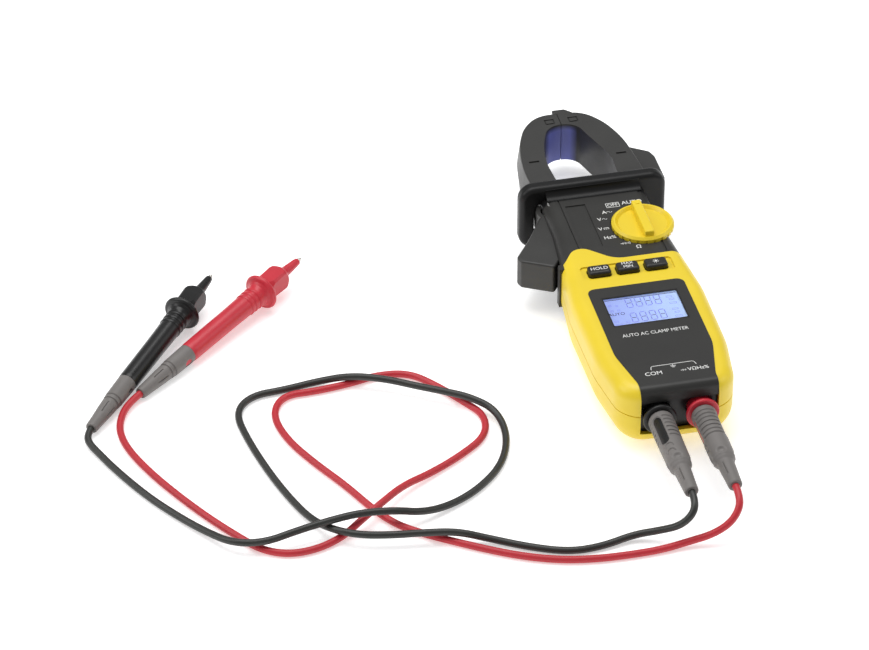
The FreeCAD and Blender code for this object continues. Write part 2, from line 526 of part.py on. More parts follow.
# ---- jacks, cells and fasteners -----------------------------------------------------
def jack_parts():
    block = box(-17.2, JACK_FACE_Y, 9.2, 17.2, JACK_DEEP_Y, 24.9)
    sleeves = []
    for side in (-1, 1):
        x = side * JACK_X
        well = rod(6.3, (x, JACK_FACE_Y - 1, JACK_Z), (x, JACK_FACE_Y + 16.0, JACK_Z))
        post = rod(3.9, (x, JACK_FACE_Y + 1.5, JACK_Z), (x, JACK_FACE_Y + 17.0, JACK_Z))
        block = block.cut(well).fuse(post)
        block = block.cut(rod(2.85, (x, JACK_FACE_Y - 1, JACK_Z), (x, JACK_DEEP_Y + 1, JACK_Z)))
        tube = rod(2.85, (x, JACK_FACE_Y + 2.0, JACK_Z), (x, JACK_DEEP_Y + 0.8, JACK_Z))
        tube = tube.cut(rod(PLUG_PIN_R + RUN_FIT, (x, JACK_FACE_Y, JACK_Z), (x, JACK_DEEP_Y - 1, JACK_Z)))
        tail = box(x - 1.2, JACK_DEEP_Y, JACK_Z - 0.5, x + 1.2, JACK_DEEP_Y + 3.0, PCB_Z0 - 0.05)
        sleeves.append(tube.fuse(tail))
    save("jack_block", block)
    save("jack_sleeve_com", sleeves[0])
    save("jack_sleeve_volt", sleeves[1])


def cells():
    group = []
    for side in (-1, 1):
        x = side * 5.8
        start = CELL_Y - side * CELL_LEN / 2
        end = CELL_Y + side * (CELL_LEN / 2 - 1.0)
        tip = CELL_Y + side * CELL_LEN / 2
        can = rod(CELL_R, (x, start, CELL_Z), (x, end, CELL_Z))
        group.append(can.fuse(rod(1.9, (x, end, CELL_Z), (x, tip, CELL_Z))))
    save("battery_cells", Part.makeCompound(group))
    y0, y1 = CELL_Y - CELL_LEN / 2, CELL_Y + CELL_LEN / 2
    plates = [box(-11.0, -75.95, 3.8, 11.0, y0 - 0.05, 12.0), box(-11.0, y1 + 0.05, 3.8, -0.6, -30.05, 12.0),
              box(0.6, y1 + 0.05, 3.8, 11.0, -30.05, 12.0)]
    save("battery_contacts", Part.makeCompound(plates))
    cover = box(-COVER_HALF_X, COVER_Y0, 0, COVER_HALF_X, COVER_Y1, COVER_Z, 3.0)
    cover = soften(cover, 0.4, 0)
    for i in range(5):
        y = -74.0 + 2.0 * i
        cover = cover.cut(box(-8, y, -1, 8, y + 0.8, 0.5))
    cover = cover.cut(rod(1.5, (0, -79.3, -1), (0, -79.3, 5))).cut(rod(2.35, (0, -79.3, -1), (0, -79.3, 0.9)))
    save("battery_cover", cover)
    screw = rod(2.2, (0, -79.3, 0.15), (0, -79.3, 0.9)).fuse(rod(1.2, (0, -79.3, 0.9), (0, -79.3, 6.5)))
    slot = box(-1.4, -79.55, 0, 1.4, -79.05, 0.6)
    cross = box(-0.25, -80.7, 0, 0.25, -77.9, 0.6)
    save("cover_screw", screw.cut(slot).cut(cross))


def case_screws():
    group = []
    for x, y in SCREW_SPOTS:
        top = 27.0 if y < REAR_SPLIT_Y else 26.5
        screw = rod(2.6, (x, y, 7.4), (x, y, 9.0)).fuse(rod(1.2, (x, y, 9.0), (x, y, top - 1.0)))
        screw = screw.cut(box(x - 1.6, y - 0.3, 7, x + 1.6, y + 0.3, 8.2))
        group.append(screw.cut(box(x - 0.3, y - 1.6, 7, x + 0.3, y + 1.6, 8.2)))
    save("case_screws", Part.makeCompound(group))


# ---- test leads ---------------------------------------------------------------------
# Centre lines of the two cords, from the plug's end to the probe's end.  Black passes
# over red wherever the two cross, and each cord crosses itself once.
BLACK_ROUTE = [
    (-9.525, -159, 18.4), (-9.5, -164.5, 18.1), (-11.5, -169, 15), (-17, -169.5, 10),
    (-24.5, -165, 5.2), (-35, -162, 2.4), (-49, -165.5, 1.6), (-63.5, -166, 1.6),
    (-79, -159.5, 1.6), (-94.5, -151, 2.2), (-107.5, -147.5, 5.6), (-120.5, -145.5, 5.8),
    (-134.5, -144, 5.8), (-148, -141, 5.8), (-158, -134.5, 5.4), (-165, -122.5, 2.4),
    (-171, -105.5, 1.6), (-176.5, -85.5, 1.6), (-181, -62.5, 1.6), (-183, -42.5, 1.6),
    (-174, -32, 1.6), (-159, -31, 1.6), (-143.5, -28.5, 1.8), (-129.5, -32.5, 5.6),
    (-115, -38.5, 5.8), (-102.5, -46, 5.4), (-91.5, -53, 5.8), (-81.5, -59.5, 5.8),
    (-72, -67.5, 3.4), (-70.5, -84, 1.6), (-77.5, -103, 1.6), (-91, -117, 1.6),
    (-105.5, -125.5, 1.8), (-118.5, -130.5, 4.4), (-130.5, -132.5, 9.2), (-145.5, -131.5, 9.8),
    (-159, -132, 8.4), (-173.5, -133.5, 6.6), (-187.5, -137, 5.8), (-200.5, -133.5, 5),
    (-210, -120, 2.2), (-220, -106, 1.6), (-230, -90.5, 1.6), (-240, -70.5, 1.6),
    (-245.5, -57.5, 1.9), (-248.5, -50.5, 2.3), (-248.5, -45.5, 2.8), (-246.2, -41.5, 3.1),
]
RED_ROUTE = [
    (9.525, -159, 18.4), (9.5, -164.5, 18.1), (8.5, -169.5, 15.2), (4, -172.5, 10.2),
    (-3.5, -172.5, 5.4), (-13, -171.5, 2.6), (-25, -173, 1.6), (-38, -173.5, 1.6),
    (-53.5, -173, 1.6), (-68, -170.5, 1.6), (-82.5, -165, 1.6), (-96, -157.5, 1.6),
    (-109, -149, 1.6), (-121.5, -140.5, 1.6), (-131, -132, 1.6), (-138.5, -119.5, 1.6),
    (-146, -102.5, 1.6), (-156, -84.5, 1.6), (-164.5, -66, 1.6), (-167.5, -47.5, 1.6),
    (-160.5, -35, 1.6), (-145.5, -35, 1.6), (-130, -33, 1.6), (-116.5, -29.5, 1.6),
    (-102.5, -31.5, 1.6), (-92.5, -43.5, 1.6), (-84, -56.5, 1.6), (-77, -68, 1.6),
    (-80, -82.5, 1.6), (-94, -93.5, 1.6), (-109, -102.5, 1.8), (-122.5, -110.5, 4),
    (-133.5, -121, 5.6), (-145, -130.5, 5), (-154, -135.5, 1.6), (-165.5, -141, 1.6),
    (-178, -142, 1.6), (-189, -136.5, 1.6), (-197.5, -125, 1.6), (-206.5, -111.5, 1.6),
    (-215.5, -96, 1.6), (-225, -77.5, 1.6), (-232.5, -58.5, 1.6), (-234.5, -44.5, 1.8),
    (-231.5, -33.5, 2.2), (-226.5, -26, 2.7), (-221.3, -21.6, 3.1),
]
BLACK_PROBE_HEADING = 52.4       # degrees from +X, seen from above, towards the tip
RED_PROBE_HEADING = 40.6


def cord_tube(route, name):
    """Round tube along straight runs joined by tangent arcs; prints its tightest radius."""
    points = [V(*p) for p in route]
    runs = [(points[i + 1] - points[i]).Length for i in range(len(points) - 1)]
    edges, at, radii, length = [], points[0], [], 0.0
    for i in range(1, len(points) - 1):
        p = points[i]
        back = (points[i - 1] - p).normalize()
        ahead = (points[i + 1] - p).normalize()
        half = back.getAngle(ahead) / 2
        reach = 0.45 * min(runs[i - 1], runs[i])
        r = reach * math.tan(half)
        bisector = (back + ahead).normalize()
        middle = p + bisector * (r / math.sin(half) - r)
        start, end = p + back * reach, p + ahead * reach
        edges.append(Part.LineSegment(at, start).toShape())
        edges.append(Part.Arc(start, middle, end).toShape())
        length += (start - at).Length + r * (math.pi - 2 * half)
        at = end
        radii.append(r)
    edges.append(Part.LineSegment(at, points[-1]).toShape())
    length += (points[-1] - at).Length
    path = Part.Wire(edges)
    first = points[1] - points[0]
    circle = Part.Wire(Part.Circle(points[0], first, CORD_D / 2).toShape())
    tube = path.makePipeShell([circle], True, False)
    expected = math.pi * CORD_D ** 2 / 4 * length
    print("%s: length %.1f, tightest radius %.1f, volume %.4f of section x length"
          % (name, length, min(radii), tube.Volume / expected))
    return tube


def plug(colour, side):
    """4 mm shrouded plug: pin, coloured flange with its shroud, and a grey boot."""
    x = side * JACK_X
    pin = rod(PLUG_PIN_R, (x, FLANGE_Y0 + 0.3, JACK_Z), (x, PLUG_PIN_TIP_Y, JACK_Z))
    save(colour + "_plug_pin", pin)
    flange = rod(FLANGE_R, (x, FLANGE_Y0, JACK_Z), (x, FLANGE_Y1, JACK_Z))
    rim = [e for e in flange.Edges if e.Length > 40 and e.Curve.TypeId == "Part::GeomCircle"]
    flange = flange.makeFillet(0.8, rim)
    shroud = rod(5.6, (x, FLANGE_Y1 - 0.5, JACK_Z), (x, JACK_FACE_Y + 14.5, JACK_Z))
    flange = flange.fuse(shroud).cut(rod(4.3, (x, FLANGE_Y1 + 0.2, JACK_Z), (x, JACK_FACE_Y + 20, JACK_Z)))
    flange = flange.cut(rod(PLUG_PIN_R, (x, FLANGE_Y0 + 0.3, JACK_Z), (x, 0, JACK_Z)))
    save(colour + "_plug_flange", flange)
    boot = turned([(0, 5.0), (2.0, 5.4), (10.0, BOOT_R), (26.0, BOOT_R + 0.1), (30.0, 5.4), (33.0, 4.4),
                   (48.0, 3.2), (50.0, 3.1)], (x, FLANGE_Y0, JACK_Z), (0, -1, 0))
    for s in (3.5, 6.3, 9.1, 11.9, 14.7, 17.5):
        boot = boot.cut(ring(BOOT_R + 2, BOOT_R - 0.75, (x, FLANGE_Y0 - s, JACK_Z),
                             (x, FLANGE_Y0 - s - 0.8, JACK_Z)))
    save(colour + "_plug_boot", boot)


def probe(colour, exit_point, heading):
    """Probe lying on its finger guard: strain relief, barrel, metal tip and tip cap."""
    a = math.radians(heading)
    rise = (PROBE_GUARD_R - PROBE_SEAT_Z) / PROBE_GUARD_S
    flat = math.sqrt(1 - rise * rise)
    axis = (math.cos(a) * flat, math.sin(a) * flat, rise)
    relief = turned([(0, 2.7), (2.0, 2.9), (16.0, 3.6), (17.5, 3.9), (19.5, 4.1), (33.0, 4.4)],
                    exit_point, axis)
    for s in (17.6, 20.2):
        p = [exit_point[k] + axis[k] * s for k in range(3)]
        q = [exit_point[k] + axis[k] * (s + 1.0) for k in range(3)]
        relief = relief.cut(ring(8, 3.4, p, q))
    save(colour + "_probe_relief", relief)
    profile = [(33.0, 4.4), (34.5, 4.55), (60.0, 4.7), (72.0, 4.9)]
    profile += bead(73.6, 0.9, 4.9, 5.25) + bead(76.4, 0.9, 4.9, 5.3) + bead(79.2, 0.9, 4.9, 5.4)
    profile += [(81.2, 5.0), (82.6, 5.5), (83.4, 6.4)]
    profile += bead(PROBE_GUARD_S, 1.3, 7.0, PROBE_GUARD_R, 9) + [(86.8, 5.9), (87.6, 5.2)]
    barrel = turned(profile + [(90.0, 4.6)], exit_point, axis)
    head = turned([(87.0, 5.0), (90.0, 5.9), (97.0, 6.1), (98.2, 5.8), (CAP_START_S, 3.2)], (0, 0, 0), (1, 0, 0))
    head = head.common(box(80, -4.7, -4.7, 110, 4.7, 4.7))
    barrel = barrel.fuse(placed(head, exit_point, axis))
    bore = turned([(80.0, 1.0), (CAP_START_S + 1, 1.0)], exit_point, axis)
    save(colour + "_probe_barrel", barrel.cut(bore))
    tip = turned([(80.0, 1.0), (PROBE_LEN - 1.8, 1.0), (PROBE_LEN, 0.15)], exit_point, axis)
    save(colour + "_probe_tip", tip)
    cap = turned([(CAP_START_S + 0.1, 2.75), (CAP_START_S + 1.5, 2.4), (109.5, 1.85), (111.3, 1.6)],
                 exit_point, axis)
    cap = cap.cut(turned([(CAP_START_S, 1.0 + RUN_FIT), (112.5, 1.0 + RUN_FIT)], exit_point, axis))
    save(colour + "_tip_cap", cap)
    print("%s probe axis: %.5f, %.5f, %.5f" % ((colour,) + axis))


def leads():
    for colour, side, route, heading in (("black", -1, BLACK_ROUTE, BLACK_PROBE_HEADING),
                                         ("red", 1, RED_ROUTE, RED_PROBE_HEADING)):
        plug(colour, side)
        save(colour + "_cord", cord_tube(route, colour + "_cord"))
        probe(colour, route[-1], heading)


front_case()
rear_case()
upper_front()
upper_rear()
display_panel()
display_module()
knob()
buttons()
boards()
jaws()
trigger()
jack_parts()
cells()
case_screws()
leads()

total = sum(shape.Volume for shape in made.values())
print("%d nodes, %.1f cm3 of material" % (len(made), total / 1000))
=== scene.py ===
"""Looks of the clamp meter and its two test leads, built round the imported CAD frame.  Metres."""
import math
import bpy
from mathutils import Matrix, Vector


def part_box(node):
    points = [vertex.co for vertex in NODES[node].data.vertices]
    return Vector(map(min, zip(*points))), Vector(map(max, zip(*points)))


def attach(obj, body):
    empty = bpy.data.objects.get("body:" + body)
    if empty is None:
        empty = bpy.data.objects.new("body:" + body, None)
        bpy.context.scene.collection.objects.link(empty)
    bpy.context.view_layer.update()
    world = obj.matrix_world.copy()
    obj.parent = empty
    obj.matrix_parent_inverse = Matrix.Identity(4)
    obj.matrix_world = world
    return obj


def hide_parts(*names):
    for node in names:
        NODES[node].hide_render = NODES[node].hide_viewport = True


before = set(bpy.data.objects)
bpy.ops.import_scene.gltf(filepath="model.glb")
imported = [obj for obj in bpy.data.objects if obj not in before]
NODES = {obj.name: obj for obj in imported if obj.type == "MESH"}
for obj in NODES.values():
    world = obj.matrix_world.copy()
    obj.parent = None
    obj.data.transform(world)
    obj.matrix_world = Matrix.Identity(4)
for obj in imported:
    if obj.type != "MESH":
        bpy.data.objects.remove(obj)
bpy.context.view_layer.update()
MM = 0.001

# Tops of the faces that carry printed marks, and how far the marks stand off them.
DIAL_FACE_Z = 0.03160
PANEL_FACE_Z = 0.03220
PRINT_GAP = 0.00001
KEY_PRINT_GAP = 0.000005
PRINT_THICK = 0.00003

# ---- camera, floor and light --------------------------------------------------------
camera_data = bpy.data.cameras.new("camera")
camera_data.sensor_width = 36.0
camera_data.lens = 165.7
camera_data.clip_end = 20.0
camera = bpy.data.objects.new("camera", camera_data)
right = Vector((0.97571808, -0.21902641, -0.00129111))
up = Vector((0.13197555, 0.58319934, 0.80153664))
back = Vector((-0.17480472, -0.78224418, 0.59794427))
place = Matrix.Translation((-0.39811, -1.40439, 1.07578))
camera.matrix_world = place @ Matrix((right, up, back)).transposed().to_4x4()
bpy.context.scene.collection.objects.link(camera)
bpy.context.scene.camera = camera
bpy.context.scene.view_settings.view_transform = "Standard"


def area_light(name, size, power, place, aim):
    data = bpy.data.lights.new(name, "AREA")
    data.shape = "RECTANGLE"
    data.size, data.size_y = size
    data.energy = power
    lamp = bpy.data.objects.new(name, data)
    lamp.location = place
    lamp.rotation_euler = (Vector(aim) - Vector(place)).to_track_quat("-Z", "Y").to_euler()
    bpy.context.scene.collection.objects.link(lamp)


TARGET = (-0.08, -0.02, 0.02)
area_light("soft_top", (1.5, 1.1), 17.0, (-0.15, 0.35, 1.5), TARGET)
area_light("soft_left", (0.8, 1.1), 8.0, (-1.5, 0.1, 1.0), TARGET)
area_light("soft_right", (0.6, 0.9), 3.0, (1.4, -0.2, 0.9), TARGET)

world = bpy.data.worlds.new("studio")
world.use_nodes = True
world.node_tree.nodes["Background"].inputs[0].default_value = (0.98, 0.985, 1.0, 1)
world.node_tree.nodes["Background"].inputs[1].default_value = 0.40
bpy.context.scene.world = world


# ---- materials ----------------------------------------------------------------------
SMUDGE_SCALE = 180.0


def material(name, color, rough, bump, vary, blotch, metallic=0.0, rough_vary=0.08, zone=None, **sockets):
    """Moulded or metal surface: colour drift, uneven gloss and fine grain, in object space.

    A zone is (centre, half size, softness, colour): another colour inside a box of the object."""
    m = bpy.data.materials.new(name)
    m.use_nodes = True
    nodes, links = m.node_tree.nodes, m.node_tree.links
    shader = nodes["Principled BSDF"]
    coords = nodes.new("ShaderNodeTexCoord")

    def noise(scale, detail):
        n = nodes.new("ShaderNodeTexNoise")
        n.inputs["Scale"].default_value = scale
        n.inputs["Detail"].default_value = detail
        links.new(coords.outputs["Object"], n.inputs["Vector"])
        return n.outputs["Fac"]

    drift = nodes.new("ShaderNodeValToRGB")
    drift.color_ramp.elements[0].position = 0.3
    drift.color_ramp.elements[1].position = 0.7
    drift.color_ramp.elements[0].color = [c * (1 - vary) for c in color] + [1]
    drift.color_ramp.elements[1].color = [min(1, c * (1 + vary)) for c in color] + [1]
    links.new(noise(blotch, 5), drift.inputs[0])
    tint = drift.outputs[0]
    # A zone paints shade or a reflection into the colour: another colour inside a box of the object.
    if zone:
        split = nodes.new("ShaderNodeSeparateXYZ")
        links.new(coords.outputs["Object"], split.inputs[0])
        inside = None
        for axis, centre, half in zip("XYZ", zone[0], zone[1]):
            off = nodes.new("ShaderNodeMath")
            off.operation = "SUBTRACT"
            off.inputs[1].default_value = centre
            links.new(split.outputs[axis], off.inputs[0])
            size = nodes.new("ShaderNodeMath")
            size.operation = "ABSOLUTE"
            links.new(off.outputs[0], size.inputs[0])
            edge = nodes.new("ShaderNodeMapRange")
            edge.inputs["From Min"].default_value = half + zone[2]
            edge.inputs["From Max"].default_value = half
            links.new(size.outputs[0], edge.inputs[0])
            if inside:
                both = nodes.new("ShaderNodeMath")
                both.operation = "MULTIPLY"
                links.new(inside, both.inputs[0])
                links.new(edge.outputs[0], both.inputs[1])
                inside = both.outputs[0]
            else:
                inside = edge.outputs[0]
        mix = nodes.new("ShaderNodeMix")
        mix.data_type = "RGBA"
        links.new(inside, mix.inputs["Factor"])
        links.new(tint, mix.inputs["A"])
        mix.inputs["B"].default_value = (*zone[3], 1)
        tint = mix.outputs["Result"]
    links.new(tint, shader.inputs["Base Color"])
    gloss = nodes.new("ShaderNodeMapRange")
    gloss.inputs["To Min"].default_value = max(0.02, rough - rough_vary)
    gloss.inputs["To Max"].default_value = min(1, rough + rough_vary)
    links.new(noise(SMUDGE_SCALE, 6), gloss.inputs[0])
    links.new(gloss.outputs[0], shader.inputs["Roughness"])
    if bump:
        grain = nodes.new("ShaderNodeBump")
        grain.inputs["Strength"].default_value = bump[1]
        grain.inputs["Distance"].default_value = 0.0001
        links.new(noise(bump[0], 3), grain.inputs["Height"])
        links.new(grain.outputs[0], shader.inputs["Normal"])
    shader.inputs["Metallic"].default_value = metallic
    for socket, value in sockets.items():
        shader.inputs[socket.replace("_", " ")].default_value = value
    return m


# Each: colour, roughness, grain (scale, strength), colour drift, drift scale, metallic.
YELLOW = material("yellow_plastic", (0.82, 0.615, 0.024), 0.36, (1800, 0.12), 0.03, 40)
CHARCOAL = material("charcoal_plastic", (0.030, 0.0295, 0.0275), 0.42, (2600, 0.35), 0.08, 70)
# Painted shade: the hand guard's face is darkened below the housing it is part of. Painted bluish reflection: the
# jaws are bluish inside their split.
GUARD_SHADE_ZONE = ((0, 0.049, 0.02), (0.1, 0.0075, 0.1), 0.001, (0.004, 0.004, 0.004))
# Painted bluish reflection on the jaws' inner walls near their split.
SPLIT_REFLECTION_ZONE = ((-0.001, 0.0950, 0.0160), (0.0050, 0.0105, 0.0105), 0.0030, (0.16, 0.18, 0.55))
HOUSING = material("housing_plastic", (0.030, 0.0295, 0.0275), 0.40, (2600, 0.3), 0.08, 70,
                   zone=GUARD_SHADE_ZONE, Specular_IOR_Level=0.3)
JAW = material("jaw_plastic", (0.030, 0.0295, 0.0275), 0.42, (2600, 0.35), 0.08, 70, zone=SPLIT_REFLECTION_ZONE)
PANEL = material("panel_plastic", (0.024, 0.0235, 0.022), 0.42, (2600, 0.2), 0.06, 70, Specular_IOR_Level=0.35)
BLACK_SATIN = material("black_satin", (0.009, 0.009, 0.009), 0.30, (1800, 0.08), 0.1, 70, Specular_IOR_Level=0.4)
KEY_RUBBER = material("key_rubber", (0.008, 0.008, 0.0075), 0.42, (2000, 0.3), 0.1, 90)
GREY_RUBBER = material("grey_rubber", (0.170, 0.158, 0.150), 0.52, (2200, 0.35), 0.06, 90)
RED_PLASTIC = material("red_plastic", (0.56, 0.022, 0.040), 0.36, (1500, 0.1), 0.05, 80)
RED_SKIN = material("red_cord_skin", (0.50, 0.020, 0.032), 0.42, (900, 0.15), 0.06, 60)
BLACK_SKIN = material("black_cord_skin", (0.022, 0.023, 0.020), 0.40, (900, 0.15), 0.12, 60)
NICKEL = material("nickel", (0.62, 0.60, 0.56), 0.22, (5000, 0.03), 0.05, 300, 1.0)
STEEL = material("steel", (0.55, 0.55, 0.54), 0.35, (4000, 0.05), 0.06, 300, 1.0)
BRASS = material("brass", (0.72, 0.52, 0.22), 0.3, (4000, 0.05), 0.08, 300, 1.0)
WHITE_PLASTIC = material("white_plastic", (0.75, 0.75, 0.72), 0.45, (1800, 0.1), 0.03, 60)
BOARD = material("board_mask", (0.01, 0.14, 0.05), 0.35, (1200, 0.1), 0.15, 200)
CHIP = material("chip_plastic", (0.02, 0.02, 0.02), 0.6, (3000, 0.2), 0.1, 200)
CORE = material("core_iron", (0.16, 0.17, 0.18), 0.4, (1500, 0.2), 0.1, 300, 1.0)
COPPER = material("copper_winding", (0.62, 0.25, 0.10), 0.35, (2500, 0.4), 0.12, 500, 1.0)
CELL = material("cell_sleeve", (0.06, 0.10, 0.28), 0.3, (1200, 0.05), 0.06, 100)
PRINT = material("white_print", (0.78, 0.78, 0.76), 0.5, (3000, 0.1), 0.05, 400)
WINDOW = material("clear_window", (0.92, 0.95, 1.0), 0.05, None, 0.02, 50, rough_vary=0.02,
                  Transmission_Weight=1.0, IOR=1.45)

LOOKS = {
    YELLOW: "front_case rear_case battery_cover knob",
    CHARCOAL: "trigger",
    HOUSING: "dial_housing rear_housing",
    JAW: "fixed_jaw_front fixed_jaw_rear moving_jaw_front moving_jaw_rear",
    PANEL: "display_panel",
    KEY_RUBBER: "button_hold button_max_min button_light button_mat",
    BLACK_SATIN: "jack_block black_plug_flange black_probe_barrel black_tip_cap",
    RED_PLASTIC: "red_plug_flange red_probe_barrel red_tip_cap",
    GREY_RUBBER: "black_plug_boot red_plug_boot black_probe_relief red_probe_relief",
    NICKEL: "black_plug_pin red_plug_pin jack_sleeve_com jack_sleeve_volt "
            "black_probe_tip red_probe_tip battery_contacts",
    STEEL: "pivot_pin jaw_spring detent_spring cover_screw case_screws",
    BRASS: "switch_wipers sounder",
    WHITE_PLASTIC: "lcd_holder switch_rotor backlight_led",
    BOARD: "main_board",
    CHIP: "board_chips",
    CORE: "fixed_jaw_core moving_jaw_core",
    COPPER: "fixed_jaw_winding moving_jaw_winding",
    CELL: "battery_cells",
    WINDOW: "lcd_window",
}


def dress(node, look):
    """Gives a CAD node its material, and smooth shading up to the true edges."""
    mesh = NODES[node].data
    mesh.materials.clear()
    mesh.materials.append(look)
    mesh.shade_smooth()
    mesh.set_sharp_from_angle(angle=math.radians(32))


for look, names in LOOKS.items():
    for node in names.split():
        dress(node, look)


# ---- mesh helpers -------------------------------------------------------------------
def clamp(t):
    return min(1.0, max(0.0, t))


def piece(name, verts, faces, look, body, slot, replaces=(), smooth=True):
    """Mesh object of the model, riding on a body."""
    mesh = bpy.data.meshes.new(name)
    mesh.from_pydata(verts, [], faces)
    mesh.materials.append(look)
    if smooth:
        mesh.shade_smooth()
        mesh.set_sharp_from_angle(angle=math.radians(38))
    thing = bpy.data.objects.new(name, mesh)
    bpy.context.scene.collection.objects.link(thing)
    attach(thing, body)
    if replaces:
        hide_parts(*replaces)
    return thing


def along(profile, s):
    """Radius at s on a profile of (s, radius) points, eased between them."""
    for (s0, r0), (s1, r1) in zip(profile, profile[1:]):
        if s <= s1:
            t = clamp((s - s0) / (s1 - s0))
            return r0 + (r1 - r0) * (t * t * (3 - 2 * t) * 0.5 + t * 0.5)
    return profile[-1][1]


def turned(profile, origin, direction, top, step, sides, relief=None):
    """Rings of a turned piece in mm along a direction; relief(s, angle) is taken off the radius.

    The angle is 0 on the side that faces top and grows towards direction x top."""
    direction = Vector(direction).normalized()
    e1 = (Vector(top) - direction * direction.dot(Vector(top))).normalized()
    e2 = direction.cross(e1)
    s0, s1 = profile[0][0], profile[-1][0]
    count = max(2, round((s1 - s0) / step))
    verts, faces = [], []
    for i in range(count + 1):
        s = s0 + (s1 - s0) * i / count
        radius = along(profile, s)
        for k in range(sides):
            a = 2 * math.pi * k / sides
            r = radius - (relief(s, a) if relief else 0.0)
            verts.append(Vector(origin) + (direction * s + (e1 * math.cos(a) + e2 * math.sin(a)) * r) * MM)
    for i in range(count):
        for k in range(sides):
            a, b = i * sides + k, i * sides + (k + 1) % sides
            faces.append((a, b, b + sides, a + sides))
    faces.append(tuple(reversed(range(sides))))
    faces.append(tuple(range(count * sides, (count + 1) * sides)))
    return verts, faces


def dip(x, half, soft):
    """1 inside +-half, falling smoothly to 0 over soft beyond it."""
    t = clamp((abs(x) - half) / soft)
    return 1 - t * t * (3 - 2 * t)


def turn_from(angle, centre):
    """Signed difference of an angle in radians from a centre in degrees, in degrees."""
    return (math.degrees(angle) - centre + 180) % 360 - 180


class Print:
    """Thin flat marks on a level face: letters, strokes and blocks, gathered into one mesh."""

    def __init__(self, z):
        self.z, self.thick = z, PRINT_THICK
        self.verts, self.faces = [], []

    def block(self, points):
        """Flat polygon of (x, y) in mm, given in turning order."""
        start, n = len(self.verts), len(points)
        area = sum(x0 * y1 - x1 * y0 for (x0, y0), (x1, y1) in zip(points, points[1:] + points[:1]))
        points = points if area > 0 else points[::-1]
        for z in (self.z, self.z + self.thick):
            self.verts += [(x * MM, y * MM, z) for x, y in points]
        self.faces.append(tuple(range(start + n, start + 2 * n)))
        self.faces.append(tuple(reversed(range(start, start + n))))
        for i in range(n):
            j = (i + 1) % n
            self.faces.append((start + i, start + j, start + n + j, start + n + i))

    def bar(self, x, y, w, h):
        a, b = w / 2, h / 2
        self.block([(x - a, y - b), (x + a, y - b), (x + a, y + b), (x - a, y + b)])

    def stroke(self, points, width):
        """Line of even width through (x, y) points."""
        for (x0, y0), (x1, y1) in zip(points, points[1:]):
            d = math.hypot(x1 - x0, y1 - y0)
            tx, ty = (x1 - x0) / d * width / 2, (y1 - y0) / d * width / 2
            self.block([(x0 - ty - tx * 0.4, y0 + tx - ty * 0.4), (x0 + ty - tx * 0.4, y0 - tx - ty * 0.4),
                        (x1 + ty + tx * 0.4, y1 - tx + ty * 0.4), (x1 - ty + tx * 0.4, y1 + tx + ty * 0.4)])

    def frame(self, x, y, w, h, width):
        a, b = w / 2, h / 2
        self.stroke([(x - a, y - b), (x + a, y - b), (x + a, y + b), (x - a, y + b), (x - a, y - b)], width)

    def text(self, words, x, y, size, stretch=1.0, bold=0.0):
        """Words centred at (x, y), size in mm."""
        curve = bpy.data.curves.new("words", "FONT")
        curve.body = words
        curve.size = size * MM
        curve.align_x = "CENTER"
        curve.align_y = "CENTER"
        curve.extrude = self.thick / 2
        curve.offset = bold * MM
        curve.resolution_u = 3
        holder = bpy.data.objects.new("words", curve)
        mesh = bpy.data.meshes.new_from_object(holder)
        start = len(self.verts)
        self.verts += [(v.co.x * stretch + x * MM, v.co.y + y * MM, v.co.z + self.z + self.thick / 2)
                       for v in mesh.vertices]
        self.faces += [tuple(start + i for i in p.vertices) for p in mesh.polygons]
        bpy.data.objects.remove(holder)
        bpy.data.meshes.remove(mesh)
        bpy.data.curves.remove(curve)

    def done(self, name, look, body, slot):
        return piece(name, self.verts, self.faces, look, body, slot, smooth=False)


# ---- display ------------------------------------------------------------------------
def glow(name, low, high, strength):
    """Backlit layer: brighter and paler to the right, bluer and darker to the left."""
    m = bpy.data.materials.new(name)
    m.use_nodes = True
    nodes, links = m.node_tree.nodes, m.node_tree.links
    shader = nodes["Principled BSDF"]
    coords = nodes.new("ShaderNodeTexCoord")
    split = nodes.new("ShaderNodeSeparateXYZ")
    links.new(coords.outputs["Object"], split.inputs[0])
    across = nodes.new("ShaderNodeMapRange")
    across.inputs["From Min"].default_value = -0.019
    across.inputs["From Max"].default_value = 0.019
    links.new(split.outputs["X"], across.inputs[0])
    ramp = nodes.new("ShaderNodeValToRGB")
    ramp.color_ramp.elements[0].color = (*low, 1)
    ramp.color_ramp.elements[1].color = (*high, 1)
    links.new(across.outputs[0], ramp.inputs[0])
    links.new(ramp.outputs[0], shader.inputs["Base Color"])
    links.new(ramp.outputs[0], shader.inputs["Emission Color"])
    shader.inputs["Emission Strength"].default_value = strength
    shader.inputs["Roughness"].default_value = 0.3
    return m


dress("lcd_backlight", glow("backlight", (0.30, 0.36, 0.95), (0.50, 0.66, 1.0), 0.7))
dress("lcd_glass", glow("lcd_layer", (0.36, 0.43, 0.88), (0.54, 0.68, 0.96), 0.45))


